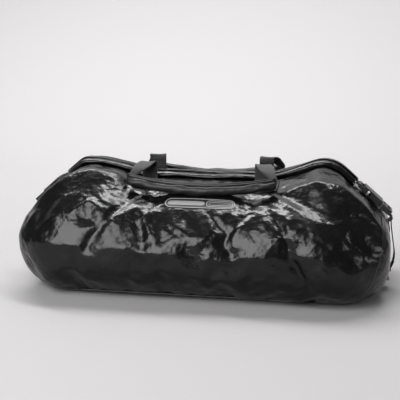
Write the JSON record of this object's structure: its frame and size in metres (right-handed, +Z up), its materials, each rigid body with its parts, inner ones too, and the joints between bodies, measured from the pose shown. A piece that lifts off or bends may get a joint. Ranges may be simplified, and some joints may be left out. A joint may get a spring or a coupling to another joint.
{
  "type": "dry bag",
  "caption": "Rectangular roll-top dry bag of glossy coated tarpaulin, rolled shut with end buckles, carrying handles, end rings and a blank front label.",
  "frame": {"origin": "middle of the flat base, on the floor", "axes": "+X along the bag's length to its right-hand end, -Y towards the front with the label, +Z up"},
  "size_m": [0.6212, 0.33, 0.2203],
  "materials": {
    "tarpaulin": "glossy PVC-coated fabric, softly crumpled",
    "base_tarpaulin": "heavier coated fabric, satin",
    "patch_tarpaulin": "glossy coated fabric, flat",
    "webbing": "woven polyester, ribbed",
    "grip_sleeve": "coated fabric, satin, stitched",
    "grip_foam": "closed-cell foam",
    "stiffener": "flexible plastic strip",
    "buckle_plastic": "moulded acetal, fine satin",
    "ring_metal": "nickel-plated steel, satin",
    "label": "flat welded label, blank"
  },
  "bodies": {
    "root": {"front_panel": "tarpaulin", "back_panel": "tarpaulin", "right_end_panel": "tarpaulin", "left_end_panel": "tarpaulin", "base_panel": "base_tarpaulin", "rolled_mouth": "tarpaulin", "front_lip_stiffener": "stiffener", "rear_lip_stiffener": "stiffener", "right_closure_tab": "webbing", "right_buckle_socket": "buckle_plastic", "right_closure_strap": "webbing", "right_strap_patch": "patch_tarpaulin", "right_ring_loop": "webbing", "left_closure_tab": "webbing", "left_buckle_socket": "buckle_plastic", "left_closure_strap": "webbing", "left_strap_patch": "patch_tarpaulin", "left_ring_loop": "webbing", "front_handle_anchors": "webbing", "front_handle_patches": "patch_tarpaulin", "rear_handle_anchors": "webbing", "rear_handle_patches": "patch_tarpaulin", "front_label": "label"},
    "front_handle": {"front_handle_webbing": "webbing", "front_grip_foam": "grip_foam", "front_grip_sleeve": "grip_sleeve"},
    "rear_handle": {"rear_handle_webbing": "webbing", "rear_grip_foam": "grip_foam", "rear_grip_sleeve": "grip_sleeve"},
    "left_plug": {"left_buckle_plug": "buckle_plastic"},
    "right_plug": {"right_buckle_plug": "buckle_plastic"},
    "left_ring": {"left_d_ring": "ring_metal"},
    "right_ring": {"right_d_ring": "ring_metal"}
  },
  "joints": [
    {"name": "front_handle_swing", "type": "hinge", "parent": "root", "child": "front_handle", "pos_m": [0, -0.036, 0.20759], "axis": [-1, 0, 0], "range_deg": [0, 125]},
    {"name": "rear_handle_swing", "type": "hinge", "parent": "root", "child": "rear_handle", "pos_m": [0, 0.036, 0.20759], "axis": [1, 0, 0], "range_deg": [0, 125]},
    {"name": "left_plug_release", "type": "slide", "parent": "root", "child": "left_plug", "axis": [-0.7531, 0, -0.6579], "range_m": [0, 0.026], "deforming": ["left_closure_strap"]},
    {"name": "left_ring_swing", "type": "hinge", "parent": "root", "child": "left_ring", "pos_m": [-0.30695, 0, 0.033], "axis": [0, 1, 0], "range_deg": [0, 100]},
    {"name": "right_plug_release", "type": "slide", "parent": "root", "child": "right_plug", "axis": [0.7531, 0, -0.6579], "range_m": [0, 0.026], "deforming": ["right_closure_strap"]},
    {"name": "right_ring_swing", "type": "hinge", "parent": "root", "child": "right_ring", "pos_m": [0.30695, 0, 0.033], "axis": [0, -1, 0], "range_deg": [0, 100]}
  ]
}
